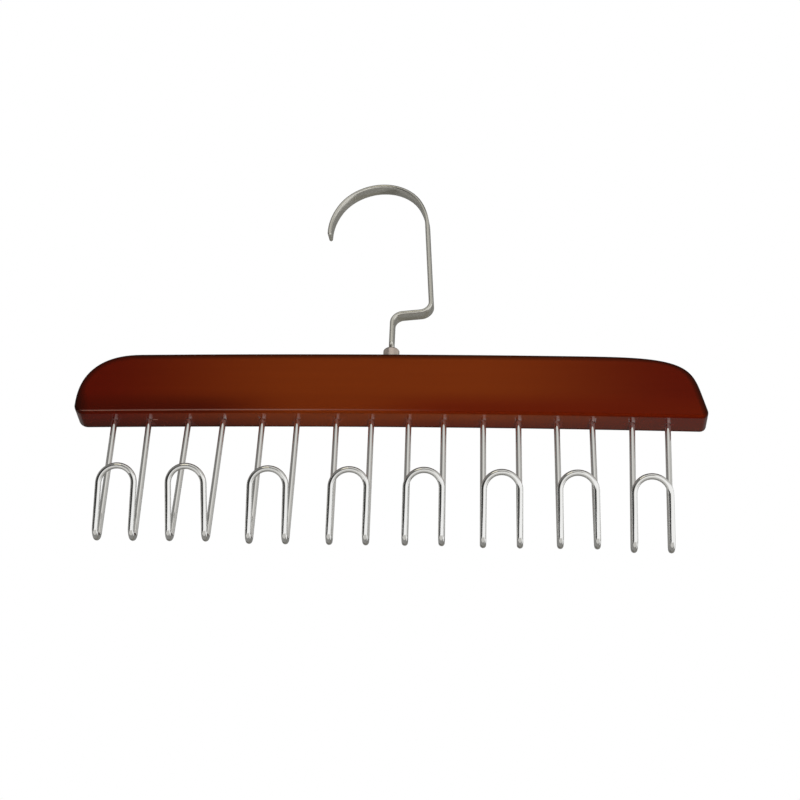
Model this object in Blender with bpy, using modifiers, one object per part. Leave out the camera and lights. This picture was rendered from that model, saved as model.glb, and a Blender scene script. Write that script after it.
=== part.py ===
"""A delicates hanger: a lacquered wooden bar with bent-wire hooks below and a swivelling rail hook above.

Metres, +Z up, +X along the bar, -Y towards the front. The origin is where the swivel axis meets the
underside of the bar. Each piece is one object; the rail hook turns about the Z axis.
"""
from math import acos, cos, pi, radians, sin, tan

import bmesh
import bpy
from mathutils import Matrix, Vector

# Fits
CLEARANCE = 0.0003
CUT_OVERRUN = 0.001

# Wooden bar
BAR_LENGTH = 0.3502
BAR_HEIGHT = 0.0398
BAR_THICKNESS = 0.0161
BAR_BOW = 0.0017
EDGE_ROUNDING = 0.0016
LEFT_SHOULDER_RUN = 0.0353
LEFT_SHOULDER_FULLNESS = 2.5
LEFT_HEEL = 0.006
RIGHT_SHOULDER_RUN = 0.078
RIGHT_SHOULDER_FULLNESS = 5.0
RIGHT_SLANT_SHARE = 0.25
RIGHT_WAIST = 0.0081
RIGHT_HEEL = 0.005

# Wire hooks
WIRE_DIAMETER = 0.0033
WIRE_END_MARGIN = 0.03195
LEG_SPACING = 0.0194
LOOP_SPACING = 0.0189
LEG_DEPTH_IN_BAR = 0.012
WIRE_DROP = 0.0794
BEND_RADIUS = 0.005
FRONT_STRAIGHT = 0.0239
FLARE_DEG = 31.4
WIRE_PLACE_SHARES = (-0.001, 0.0185, 0.0285, 0.037, 0.016, 0.0225, 0.0115, 0.020)
WIRE_DROP_SHARES = (0.981, 0.980, 0.994, 0.995, 0.995, 1.006, 1.006, 1.029)
WIRE_LEANS_DEG = (0.65, -1.35, -0.4, 0.55, 0.5, 0.45, 0.4, -1.7)
LOOP_LEANS_DEG = (4.0, -3.2, 0.9, 2.6, 1.3, 0.5, -1.2, -3.5)

# Rail hook, a flat strip bent edge-on, with a round shank below
STRIP_THICKNESS = 0.0024
STRIP_WIDTH = 0.008
STEM_RISE = 0.0315
RUN_LENGTH = 0.0225
RUN_RISE_DEG = 2.3
CORNER_RADIUS = 0.0062
UPRIGHT_LENGTH = 0.058
UPRIGHT_LEAN_DEG = 3.7
ARCH_RADII = (0.0438, 0.0280, 0.0385)
ARCH_TURNS_DEG = (22.6, 123.1, 31.5)
TIP_LENGTH = 0.0016
TIP_SHARES = ((0.6, 0.86), (1.0, 0.5))
REST_SWIVEL_DEG = -5.7
SHANK_DIAMETER = 0.0032
SHANK_TAPER = 0.003
HEAD_DIAMETER = 0.0054
HEAD_THICKNESS = 0.0015

# Collar, sleeve and washer on the swivel axis
COLLAR_DIAMETER = 0.0092
COLLAR_HEIGHT = 0.0077
DOME_RISE = 0.0018
COLLAR_LAND = 0.0006
SLEEVE_DIAMETER = 0.0070
SLEEVE_LENGTH = 0.014
WASHER_DIAMETER = 0.0068
WASHER_THICKNESS = 0.0008
BORE_SPARE = 0.001

# Facets
WIRE_SIDES = 12
BORE_SIDES = 24
COLLAR_SIDES = 32
DOME_STEPS = 6
STRIP_QUARTER_POINTS = 4
SHOULDER_STEPS = 16
HEEL_STEPS = 5
EDGE_STEPS = 9
BEND_STEPS = 10
LOOP_STEPS = 14
CORNER_STEPS = 8
ARCH_STEPS = (5, 20, 6)
MERGE_DISTANCE = 0.00001

# Finishes: colour, metallic, roughness
LACQUERED_WOOD = ("lacquered_wood", (0.16, 0.032, 0.008, 1.0), 0.0, 0.22)
SATIN_NICKEL = ("satin_nickel", (0.56, 0.55, 0.50, 1.0), 1.0, 0.32)
CHROME_WIRE = ("chrome_wire", (0.72, 0.72, 0.72, 1.0), 1.0, 0.16)
PLAIN_STEEL = ("plain_steel", (0.45, 0.45, 0.46, 1.0), 1.0, 0.40)


def clear_scene():
    for old in list(bpy.data.objects):
        bpy.data.objects.remove(old, do_unlink=True)


def new_collection(name):
    collection = bpy.data.collections.new(name)
    bpy.context.scene.collection.children.link(collection)
    return collection


def material_of(finish):
    """The Principled material of a finish, made once."""
    name, colour, metallic, roughness = finish
    material = bpy.data.materials.get(name)
    if material is None:
        material = bpy.data.materials.new(name)
        material.use_nodes = True
        shader = material.node_tree.nodes["Principled BSDF"]
        shader.inputs["Base Color"].default_value = colour
        shader.inputs["Metallic"].default_value = metallic
        shader.inputs["Roughness"].default_value = roughness
    return material


def add_piece(name, data, finish, collection, parent=None):
    """One named object for one physical piece."""
    piece = bpy.data.objects.new(name, data)
    data.materials.append(material_of(finish))
    collection.objects.link(piece)
    piece.parent = parent
    return piece


def add_cutter(name, mesh, collection):
    cutter = bpy.data.objects.new(name, mesh)
    collection.objects.link(cutter)
    cutter.hide_render = True
    cutter.display_type = "WIRE"
    return cutter


def across_flats(radius, sides):
    """Corner radius of a round hole whose flats just clear this radius."""
    return radius / cos(pi / sides)


def bow_drop(x):
    """How far the gently arched bar has dropped at this distance from its middle."""
    return BAR_BOW * (2 * x / BAR_LENGTH) ** 2


def shoulder_points(reach, run, waist, fullness):
    """A rounded shoulder from the top edge out to the side, as a quarter superellipse."""
    points = []
    for step in range(SHOULDER_STEPS + 1):
        angle = pi / 2 * (1 - step / SHOULDER_STEPS)
        across = max(cos(angle), 0.0) ** (2 / fullness)
        up = max(sin(angle), 0.0) ** (2 / fullness)
        points.append((reach - run + run * across, waist + (BAR_HEIGHT - waist) * up))
    return points


def heel_points(reach, heel):
    """The small rounded corner from the side in to the underside."""
    points = []
    for step in range(HEEL_STEPS + 1):
        angle = pi / 2 * step / HEEL_STEPS
        points.append((reach - heel + heel * cos(angle), heel - heel * sin(angle)))
    return points


def end_points(run, waist, fullness, heel, slant_share):
    """One end of the bar from the top edge round to the underside, pointing along +X."""
    reach = BAR_LENGTH / 2 + slant_share * heel
    points = shoulder_points(reach, run, waist, fullness) + heel_points(reach, heel)
    return [(x - slant_share * z, z) for x, z in points]


def edge_points(start, end):
    """Points strictly between two outline points, for the bowed top and bottom edges."""
    (x0, z0), (x1, z1) = start, end
    return [(x0 + (x1 - x0) * step / EDGE_STEPS, z0 + (z1 - z0) * step / EDGE_STEPS)
            for step in range(1, EDGE_STEPS)]


def bar_outline():
    """The bar seen from the front, clockwise from the start of the right shoulder."""
    right = end_points(RIGHT_SHOULDER_RUN, RIGHT_WAIST, RIGHT_SHOULDER_FULLNESS, RIGHT_HEEL, RIGHT_SLANT_SHARE)
    left = end_points(LEFT_SHOULDER_RUN, LEFT_HEEL, LEFT_SHOULDER_FULLNESS, LEFT_HEEL, 0.0)
    left = [(-x, z) for x, z in reversed(left)]
    outline = right + edge_points(right[-1], left[0]) + left + edge_points(left[-1], right[0])
    kept = []
    for x, z in outline:
        if not kept or (Vector((x, z)) - Vector(kept[-1])).length > MERGE_DISTANCE:
            kept.append((x, z))
    return [(x, z - bow_drop(x)) for x, z in kept]


def flat_solid(name, outline, thickness):
    """A flat outline in X and Z made into a solid of this thickness, centred on Y."""
    curve = bpy.data.curves.new(name, "CURVE")
    curve.dimensions = "2D"
    curve.fill_mode = "BOTH"
    curve.extrude = thickness / 2
    spline = curve.splines.new("POLY")
    spline.points.add(len(outline) - 1)
    for point, (x, z) in zip(spline.points, outline):
        point.co = (x, z, 0.0, 1.0)
    spline.use_cyclic_u = True
    guide = bpy.data.objects.new(name + "_outline", curve)
    bpy.context.scene.collection.objects.link(guide)
    evaluated = guide.evaluated_get(bpy.context.evaluated_depsgraph_get())
    mesh = bpy.data.meshes.new_from_object(evaluated)
    bpy.data.objects.remove(guide)
    mesh.name = name
    mesh.materials.clear()
    solid = bmesh.new()
    solid.from_mesh(mesh)
    bmesh.ops.remove_doubles(solid, verts=solid.verts, dist=MERGE_DISTANCE)
    bmesh.ops.dissolve_limit(solid, angle_limit=radians(0.1), verts=solid.verts, edges=solid.edges)
    bmesh.ops.rotate(solid, verts=solid.verts, matrix=Matrix.Rotation(pi / 2, 3, "X"))
    bmesh.ops.recalc_face_normals(solid, faces=solid.faces)
    solid.to_mesh(mesh)
    solid.free()
    return mesh


def wire_place(index):
    """Distance of one wire hook's middle from the middle of the bar, in a row spread evenly between its ends."""
    spaces = len(WIRE_LEANS_DEG) - 1
    pitch = (BAR_LENGTH - 2 * WIRE_END_MARGIN) / spaces
    return (index - spaces / 2 + WIRE_PLACE_SHARES[index]) * pitch


def leg_drill_mesh():
    """Blind holes in the underside, drilled along the lean of each leg."""
    drills = bmesh.new()
    radius = across_flats(WIRE_DIAMETER / 2 + CLEARANCE, BORE_SIDES)
    depth = LEG_DEPTH_IN_BAR + CLEARANCE
    overrun = BAR_BOW + CUT_OVERRUN
    for index, lean in enumerate(WIRE_LEANS_DEG):
        tilt = Matrix.Rotation(-radians(lean), 4, "Y")
        lift = Matrix.Translation((0.0, 0.0, (depth - overrun) / 2))
        for side in (-1, 1):
            place = Matrix.Translation((wire_place(index) + side * LEG_SPACING / 2, 0.0, 0.0))
            bmesh.ops.create_cone(drills, cap_ends=True, segments=BORE_SIDES, radius1=radius,
                                  radius2=radius, depth=depth + overrun, matrix=place @ tilt @ lift)
    mesh = bpy.data.meshes.new("leg_drills")
    drills.to_mesh(mesh)
    drills.free()
    return mesh


def bore_floor():
    """Height of the bottom of the swivel bore."""
    stack = SLEEVE_LENGTH + WASHER_THICKNESS + HEAD_THICKNESS + 3 * CLEARANCE
    return BAR_HEIGHT - stack - BORE_SPARE


def bore_drill_mesh():
    """The blind bore in the top of the bar that takes the sleeve and the shank's head."""
    drill = bmesh.new()
    radius = across_flats(SLEEVE_DIAMETER / 2 + CLEARANCE, BORE_SIDES)
    top = BAR_HEIGHT + CUT_OVERRUN
    place = Matrix.Translation((0.0, 0.0, (top + bore_floor()) / 2))
    bmesh.ops.create_cone(drill, cap_ends=True, segments=BORE_SIDES, radius1=radius,
                          radius2=radius, depth=top - bore_floor(), matrix=place)
    mesh = bpy.data.meshes.new("bore_drill")
    drill.to_mesh(mesh)
    drill.free()
    return mesh


def cut(piece, cutter):
    boolean = piece.modifiers.new(cutter.name, "BOOLEAN")
    boolean.operation = "DIFFERENCE"
    boolean.solver = "EXACT"
    boolean.object = cutter


def make_bar(collection, cutters):
    """The solid wooden bar with rounded edges, its wire holes and its swivel bore."""
    bar = add_piece("bar", flat_solid("bar", bar_outline(), BAR_THICKNESS), LACQUERED_WOOD, collection)
    rounding = bar.modifiers.new("rounded_edges", "BEVEL")
    rounding.limit_method = "ANGLE"
    rounding.angle_limit = radians(60)
    rounding.width = EDGE_ROUNDING
    rounding.segments = 3
    cut(bar, add_cutter("leg_drills", leg_drill_mesh(), cutters))
    cut(bar, add_cutter("bore_drill", bore_drill_mesh(), cutters))
    return bar


def loop_side(drop):
    """One leg from its top in the bar, down and round the bend to the foot of the front straight."""
    points = [Vector((0.0, 0.0, LEG_DEPTH_IN_BAR))]
    turn = pi - radians(FLARE_DEG)
    for step in range(BEND_STEPS + 1):
        angle = turn * step / BEND_STEPS
        y = BEND_RADIUS * (cos(angle) - 1)
        z = BEND_RADIUS * (1 - sin(angle)) - drop
        points.append(Vector((0.0, y, z)))
    return points


def wire_points(index):
    """The centreline of one wire hook, from the top of its left leg round to that of its right leg."""
    flare = Vector((0.0, -sin(radians(FLARE_DEG)), cos(radians(FLARE_DEG))))
    side = loop_side(WIRE_DROP * WIRE_DROP_SHARES[index])
    bend_end = side[-1]
    arch_base = bend_end + flare * FRONT_STRAIGHT
    half = LEG_SPACING / 2
    left = [point - Vector((half, 0.0, 0.0)) for point in side]
    right = [point + Vector((half, 0.0, 0.0)) for point in reversed(side)]
    reach = LOOP_SPACING / 2
    arch = []
    for step in range(LOOP_STEPS + 1):
        angle = pi * step / LOOP_STEPS
        arch.append(arch_base + Vector((-reach * cos(angle), 0.0, 0.0)) + flare * reach * sin(angle))
    loop_lean = tan(radians(LOOP_LEANS_DEG[index]))
    for point in arch:
        point.x += (point.z - bend_end.z) * loop_lean
    points = left + arch + right
    lean = tan(radians(WIRE_LEANS_DEG[index]))
    for point in points:
        point.x += wire_place(index) - point.z * lean
    return points


def make_wire_hook(index, collection):
    """One wire hook, a single round wire bent into a J-shaped double leg and loop."""
    name = f"wire_hook_{index + 1}"
    curve = bpy.data.curves.new(name, "CURVE")
    curve.dimensions = "3D"
    curve.bevel_depth = WIRE_DIAMETER / 2
    curve.bevel_resolution = WIRE_SIDES // 2 - 2
    curve.use_fill_caps = True
    points = wire_points(index)
    spline = curve.splines.new("POLY")
    spline.points.add(len(points) - 1)
    for place, point in zip(spline.points, points):
        place.co = (*point, 1.0)
    return add_piece(name, curve, CHROME_WIRE, collection)


def walk(start, heading, moves):
    """Stations (place, heading) along moves: a straight is (length, 0, 1), an arc (radius, turn, steps)."""
    place = Vector(start)
    stations = []
    for size, turn, steps in moves:
        half_turn = turn / steps / 2
        length = 2 * size * abs(sin(half_turn)) if turn else size
        for _ in range(steps):
            heading += half_turn
            place = place + length * Vector((cos(heading), sin(heading)))
            heading += half_turn
            stations.append((place.copy(), heading))
    return stations


def hook_stations(start_height):
    """The bent strip's centreline in the hook's own plane, from the shank's taper to the tip."""
    rise, lean = radians(RUN_RISE_DEG), radians(UPRIGHT_LEAN_DEG)
    first_turn = -(pi / 2 - rise)
    second_turn = pi / 2 + lean - rise
    first_tangent = CORNER_RADIUS * tan(-first_turn / 2)
    second_tangent = CORNER_RADIUS * tan(second_turn / 2)
    stem_end = BAR_HEIGHT + STEM_RISE - first_tangent
    run = RUN_LENGTH / cos(rise) - first_tangent - second_tangent
    moves = [(stem_end - start_height, 0, 1), (CORNER_RADIUS, first_turn, CORNER_STEPS), (run, 0, 1),
             (CORNER_RADIUS, second_turn, CORNER_STEPS), (UPRIGHT_LENGTH, 0, 1)]
    for radius, turn_deg, steps in zip(ARCH_RADII, ARCH_TURNS_DEG, ARCH_STEPS):
        moves.append((radius, radians(turn_deg), steps))
    return walk((0.0, start_height), pi / 2, moves)


def section(place, heading, thickness, width):
    """A ring round one station: a rounded bar of this thickness in the plane and width across it."""
    corner = min(thickness, width) / 2
    corner_radius = across_flats(corner, 4 * STRIP_QUARTER_POINTS)
    across = Vector((-sin(heading), 0.0, cos(heading)))
    ring = []
    for quarter in range(4):
        for step in range(STRIP_QUARTER_POINTS):
            angle = pi / 2 * (quarter + (step + 0.5) / STRIP_QUARTER_POINTS)
            side_t = 1 if cos(angle) > 0 else -1
            side_w = 1 if sin(angle) > 0 else -1
            offset_t = side_t * (thickness / 2 - corner) + corner_radius * cos(angle)
            offset_w = side_w * (width / 2 - corner) + corner_radius * sin(angle)
            centre = Vector((place[0], 0.0, place[1]))
            ring.append(centre + across * offset_t + Vector((0.0, offset_w, 0.0)))
    return ring


def shank_rings():
    """Rings of the round shank: its peened head under the washer, then up through sleeve and collar."""
    head_top = BAR_HEIGHT - SLEEVE_LENGTH - WASHER_THICKNESS - 3 * CLEARANCE
    head_bottom = head_top - HEAD_THICKNESS
    collar_top = BAR_HEIGHT + CLEARANCE + COLLAR_HEIGHT
    sizes = [(head_bottom, SHANK_DIAMETER), (head_bottom + HEAD_THICKNESS / 3, HEAD_DIAMETER),
             (head_top, HEAD_DIAMETER), (head_top, SHANK_DIAMETER),
             (collar_top + CLEARANCE, SHANK_DIAMETER)]
    return [section((0.0, height), pi / 2, size, size) for height, size in sizes]


def strip_rings():
    """Rings of the flat strip, from where the shank flares into it to the rounded tip."""
    start = BAR_HEIGHT + 2 * CLEARANCE + COLLAR_HEIGHT + SHANK_TAPER
    rings = [section((0.0, start), pi / 2, STRIP_THICKNESS, STRIP_WIDTH)]
    stations = hook_stations(start)
    for place, heading in stations:
        rings.append(section(place, heading, STRIP_THICKNESS, STRIP_WIDTH))
    place, heading = stations[-1]
    onward = Vector((cos(heading), sin(heading)))
    for along_share, size_share in TIP_SHARES:
        tip = place + onward * TIP_LENGTH * along_share
        width = STRIP_WIDTH - STRIP_THICKNESS * (1 - size_share)
        rings.append(section(tip, heading, STRIP_THICKNESS * size_share, width))
    return rings


def loft_mesh(name, rings):
    """A closed skin over rings of equal point counts, capped at both ends."""
    skin = bmesh.new()
    loops = [[skin.verts.new(point) for point in ring] for ring in rings]
    for lower, upper in zip(loops, loops[1:]):
        for corner, start in enumerate(lower):
            after = (corner + 1) % len(lower)
            skin.faces.new((start, lower[after], upper[after], upper[corner]))
    skin.faces.new(reversed(loops[0]))
    skin.faces.new(loops[-1])
    bmesh.ops.recalc_face_normals(skin, faces=skin.faces)
    mesh = bpy.data.meshes.new(name)
    skin.to_mesh(mesh)
    skin.free()
    mesh.shade_smooth()
    mesh.set_sharp_from_angle(angle=radians(40))
    return mesh


def make_rail_hook(collection, pivot):
    """The flat strip hook with its round shank, one forged and bent piece."""
    return add_piece("rail_hook", loft_mesh("rail_hook", shank_rings() + strip_rings()), SATIN_NICKEL,
                     collection, pivot)


def turned_piece(name, profile, sides, finish, collection, parent=None):
    """A turned ring: a closed profile of (radius, height), outer side first and downwards, spun about Z."""
    mesh = bpy.data.meshes.new(name)
    corners = len(profile)
    mesh.from_pydata([(radius, 0.0, height) for radius, height in profile],
                     [(corner, (corner + 1) % corners) for corner in range(corners)], [])
    piece = add_piece(name, mesh, finish, collection, parent)
    spin = piece.modifiers.new("spin", "SCREW")
    spin.steps = sides
    spin.render_steps = sides
    spin.use_merge_vertices = True
    spin.merge_threshold = MERGE_DISTANCE
    return piece


def bore_radius(sides):
    """Corner radius of a bore that clears the round shank."""
    return across_flats(SHANK_DIAMETER / 2 + CLEARANCE, sides)


def make_collar(collection):
    """The collar that stands on the bar round the shank: a low dome with a flat land round its hole."""
    radius, hole = COLLAR_DIAMETER / 2, bore_radius(COLLAR_SIDES)
    base = BAR_HEIGHT + CLEARANCE
    top = base + COLLAR_HEIGHT
    land_angle = acos((hole + COLLAR_LAND) / radius)
    dome_foot = top - DOME_RISE * sin(land_angle)
    profile = [(hole, top)]
    for step in range(DOME_STEPS + 1):
        angle = land_angle * (1 - step / DOME_STEPS)
        profile.append((radius * cos(angle), dome_foot + DOME_RISE * sin(angle)))
    profile += [(radius, base), (hole, base)]
    return turned_piece("collar", profile, COLLAR_SIDES, SATIN_NICKEL, collection)


def make_sleeve(collection):
    """The steel sleeve pressed into the top of the bar, in which the shank turns."""
    outer, hole = SLEEVE_DIAMETER / 2, bore_radius(BORE_SIDES)
    top = BAR_HEIGHT - bow_drop(SLEEVE_DIAMETER / 2)
    bottom = BAR_HEIGHT - SLEEVE_LENGTH
    profile = [(outer, top), (outer, bottom), (hole, bottom), (hole, top)]
    return turned_piece("swivel_sleeve", profile, BORE_SIDES, PLAIN_STEEL, collection)


def make_washer(collection, pivot):
    """The washer that the peened shank holds up against the sleeve."""
    outer, hole = WASHER_DIAMETER / 2, bore_radius(BORE_SIDES)
    top = BAR_HEIGHT - SLEEVE_LENGTH - CLEARANCE
    bottom = top - WASHER_THICKNESS
    profile = [(outer, top), (outer, bottom), (hole, bottom), (hole, top)]
    return turned_piece("retaining_washer", profile, BORE_SIDES, PLAIN_STEEL, collection, pivot)


def make_pivot(collection):
    """An empty on the swivel axis that carries the hook, turned as it stands at rest."""
    pivot = bpy.data.objects.new("swivel_axis", None)
    pivot.rotation_euler = (0.0, 0.0, radians(REST_SWIVEL_DEG))
    collection.objects.link(pivot)
    return pivot


def build():
    clear_scene()
    hanger = new_collection("delicates_hanger")
    cutters = new_collection("cutters")
    pivot = make_pivot(hanger)
    make_bar(hanger, cutters)
    for index in range(len(WIRE_LEANS_DEG)):
        make_wire_hook(index, hanger)
    make_rail_hook(hanger, pivot)
    make_collar(hanger)
    make_sleeve(hanger)
    make_washer(hanger, pivot)


build()
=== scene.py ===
"""A delicates hanger in a plain pale studio: a lacquered wooden bar, eight bent-wire hooks and a rail hook.

Metres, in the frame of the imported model: +X along the bar, -Y to the front, +Z up the swivel axis.
"""
from math import acos, cos, pi, radians, sin, tan

import bmesh
import bpy
from mathutils import Matrix, Vector


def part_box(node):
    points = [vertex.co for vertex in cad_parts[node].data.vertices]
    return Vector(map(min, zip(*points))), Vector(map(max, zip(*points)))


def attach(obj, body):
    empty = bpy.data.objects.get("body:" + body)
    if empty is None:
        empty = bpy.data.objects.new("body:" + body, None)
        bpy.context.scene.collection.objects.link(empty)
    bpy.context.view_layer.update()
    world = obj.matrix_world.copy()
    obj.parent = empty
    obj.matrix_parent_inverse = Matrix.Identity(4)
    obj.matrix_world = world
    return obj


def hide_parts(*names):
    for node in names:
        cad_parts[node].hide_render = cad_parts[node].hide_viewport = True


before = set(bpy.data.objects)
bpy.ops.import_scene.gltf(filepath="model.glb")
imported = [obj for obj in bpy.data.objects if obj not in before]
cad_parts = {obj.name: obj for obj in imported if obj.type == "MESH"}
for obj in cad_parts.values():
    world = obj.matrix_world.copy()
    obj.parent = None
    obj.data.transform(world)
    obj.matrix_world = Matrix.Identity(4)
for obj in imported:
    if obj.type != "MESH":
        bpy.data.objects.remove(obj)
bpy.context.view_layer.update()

# Wooden bar
# One piece of wood with rounded shoulders, stained orange-brown in the middle and dark red towards the ends,
# with painted shade deepening the ends, and lacquered to a gloss. Its edges are lightly rounded. The wires and
# the swivel stand in drilled holes.
BAR_BOW = 0.0017
EDGE_ROUNDING = 0.0016
ARC_STEPS = 6
LEFT_SHOULDER_RUN = 0.0353
LEFT_SHOULDER_FULLNESS = 2.5
LEFT_HEEL = 0.006
RIGHT_SHOULDER_RUN = 0.078
RIGHT_SHOULDER_FULLNESS = 5.0
RIGHT_SLANT_SHARE = 0.25
RIGHT_WAIST = 0.0081
RIGHT_HEEL = 0.005
SHOULDER_STEPS = 56
HEEL_STEPS = 14
LONG_EDGE_STEPS = 60
MERGE_DISTANCE = 0.00001
FLAT_FACE_WEIGHT = 100

bar_low, bar_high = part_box("bar")
bar_length = -2 * bar_low.x
bar_height = bar_high.z
bar_thickness = bar_high.y - bar_low.y


def bow_drop(x):
    """How far the gently arched bar has dropped at this distance from its middle."""
    return BAR_BOW * (2 * x / bar_length) ** 2


def shoulder_and_heel(run, waist, fullness, heel, slant_share):
    """One end of the bar from its top edge to the underside: a quarter superellipse, then a small arc."""
    reach = bar_length / 2 + slant_share * heel
    points = []
    for step in range(SHOULDER_STEPS + 1):
        angle = pi / 2 * (1 - step / SHOULDER_STEPS)
        across = max(cos(angle), 0.0) ** (2 / fullness)
        up = max(sin(angle), 0.0) ** (2 / fullness)
        points.append((reach - run + run * across, waist + (bar_height - waist) * up))
    for step in range(HEEL_STEPS + 1):
        angle = pi / 2 * step / HEEL_STEPS
        points.append((reach - heel + heel * cos(angle), heel - heel * sin(angle)))
    return [(x - slant_share * z, z) for x, z in points]


def long_edge(start, end):
    """Points strictly between two ends of the top or the bottom edge."""
    shares = [step / LONG_EDGE_STEPS for step in range(1, LONG_EDGE_STEPS)]
    return [tuple(a + (b - a) * share for a, b in zip(start, end)) for share in shares]


def bar_outline():
    """The bar seen from the front, clockwise from the start of the right shoulder, with no point twice."""
    right = shoulder_and_heel(RIGHT_SHOULDER_RUN, RIGHT_WAIST, RIGHT_SHOULDER_FULLNESS, RIGHT_HEEL,
                              RIGHT_SLANT_SHARE)
    left = shoulder_and_heel(LEFT_SHOULDER_RUN, LEFT_HEEL, LEFT_SHOULDER_FULLNESS, LEFT_HEEL, 0.0)
    left = [(-x, z) for x, z in reversed(left)]
    corners = right + long_edge(right[-1], left[0]) + left + long_edge(left[-1], right[0])
    outline = [Vector(corner) for corner in corners]
    return [point for place, point in enumerate(outline)
            if (point - outline[place - 1]).length > MERGE_DISTANCE]


def close_skin(solid, loops):
    """Faces from each loop of corners to the next and over both ends, all turned outwards."""
    for near, far in zip(loops, loops[1:]):
        for place, corner in enumerate(near):
            after = (place + 1) % len(near)
            solid.faces.new((corner, near[after], far[after], far[place]))
    solid.faces.new(loops[0])
    solid.faces.new(reversed(loops[-1]))
    bmesh.ops.recalc_face_normals(solid, faces=solid.faces)


def plain_mesh(name, shape):
    """A shape that is done, as a mesh."""
    mesh = bpy.data.meshes.new(name)
    shape.to_mesh(mesh)
    shape.free()
    return mesh


def rounded_bar():
    """The outline as a solid with rounded edges: rings that turn from each face to the side between them."""
    outline = bar_outline()
    turns = [pi / 2 * step / ARC_STEPS for step in range(ARC_STEPS + 1)]
    solid = bmesh.new()
    loops = []
    for side, side_turns in ((1, reversed(turns)), (-1, turns)):
        for turn in side_turns:
            inset = EDGE_ROUNDING * (1 - cos(turn))
            depth = bar_thickness / 2 - EDGE_ROUNDING * (1 - sin(turn))
            loop = []
            for place, point in enumerate(outline):
                following = outline[(place + 1) % len(outline)]
                along = (point - outline[place - 1]).normalized() + (following - point).normalized()
                along.normalize()
                flat = point + Vector((along.y, -along.x)) * inset
                loop.append(solid.verts.new((flat.x, side * depth, flat.y - bow_drop(flat.x))))
            loops.append(loop)
    close_skin(solid, loops)
    mesh = plain_mesh("wood_bar_blank", solid)
    mesh.shade_smooth()
    return mesh


def new_piece(name, mesh, material=None):
    piece = bpy.data.objects.new(name, mesh)
    bpy.context.scene.collection.objects.link(piece)
    if material:
        mesh.materials.append(material)
    return piece


def finished(source, name):
    """A plain mesh piece made from one with modifiers, which is then removed."""
    bpy.context.view_layer.update()
    depsgraph = bpy.context.evaluated_depsgraph_get()
    mesh = bpy.data.meshes.new_from_object(source.evaluated_get(depsgraph), preserve_all_data_layers=True,
                                           depsgraph=depsgraph)
    mesh.name = name
    bpy.data.objects.remove(source, do_unlink=True)
    return new_piece(name, mesh)


# The stain, its painted shade and highlight, and the lacquer. A pair of places says where a shade begins and
# where it is full.
STAIN_MIDDLE = (0.175, 0.0270, 0.0030)
END_STAIN_AND_SHADE = (0.090, 0.0040, 0.0010)
STAIN_REACH = (0.170, 0.040)
LOW_EDGE_SHADE_COLOUR = (0.050, 0.0030, 0.0010)
LOW_EDGE_SHADE_COLOUR_RIGHT = (0.108, 0.0068, 0.0009)
LOW_EDGE_STRENGTH = 0.85
LOW_EDGE_HEIGHTS = (0.0165, 0.003)
LOW_EDGE_REACH = (-0.100, 0.020)
LOW_EDGE_DEPTHS = (-0.0060, 0.0080)
PALE_LOW_EDGE_MIDDLE = -0.036
PALE_LOW_EDGE_REACH = (0.075, 0.010)
PALE_LOW_EDGE_SHARE = 0.65
RIM_SHADE_COLOUR = (0.004, 0.0018, 0.0012)
RIM_STRENGTH = 0.96
RIM_WIDTH = 0.0042
RIM_DEPTHS = (0.0040, 0.0068)
RIM_ON_FACE_SHARE = 0.4
LEFT_RIM_WIDTH = 0.0085
LEFT_RIM_HEIGHTS = (0.020, 0.004)
LEFT_RIM_FALL = 1.3
RIGHT_RIM_FALL = 1.9
BACK_EDGE_DEPTHS = (0.0050, 0.0070)
BACK_EDGE_STRENGTH = 0.85
BACK_EDGE_DULLNESS = 0.7
RAW_WOOD = (0.300, 0.125, 0.095)
CHIP_PLACE = (-0.1300, -0.0005)
CHIP_SIZE = (0.0018, 0.0005)
CHIP_RAGGEDNESS = 0.4
BEAD_HIGHLIGHT_COLOUR = (0.240, 0.0550, 0.0300)
BEAD_HIGHLIGHT_STRENGTH = 0.35
BEAD_DEPTHS = (0.0068, 0.0073)
BEAD_TOP = (0.0022, 0.0017)
BEAD_BOTTOM = (0.0010, 0.0013)
BEAD_REACH = (0.050, -0.070)
GRAIN_STRETCH = (9.0, 240.0, 240.0)
FIGURE_STRETCH = (3.2, 34.0, 34.0)
PORE_STRETCH = (60.0, 1500.0, 1500.0)
GRAIN_DETAIL = 5.0
FINE_DETAIL = 2.0
PLAIN_DETAIL = 1.0
TONE = 0.86
GRAIN_TONE = 0.16
FIGURE_TONE = 0.14
PORE_TONE = 0.03
UNDERSIDE_DEPTHS = (0.0068, 0.0062)
UNDERSIDE_SHEEN = 0.25
UNDERSIDE_SHEEN_DEPTHS = (0.006, -0.006)
LACQUER_ROUGHNESS = 0.07
GRAIN_ROUGHNESS = 0.04
FIGURE_ROUGHNESS = 0.02
CHIP_ROUGHNESS = 0.5
RIPPLE_STRENGTH = 0.04
RIPPLE_HEIGHT = 0.0002
GRAIN_RIPPLE_SHARE = 0.3
BEAD_GLOSS = 0.95
UNDERSIDE_GLOSS = 0.38
UNDERSIDE_GLOSS_RISE = 0.37
UNDERSIDE_GLOSS_REACH = (0.0, 0.150)
LACQUER = {"IOR": 1.45, "Specular IOR Level": 0.3, "Specular Tint": (1.0, 0.18, 0.05, 1.0),
           "Coat IOR": 1.7, "Coat Roughness": 0.05}


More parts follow.
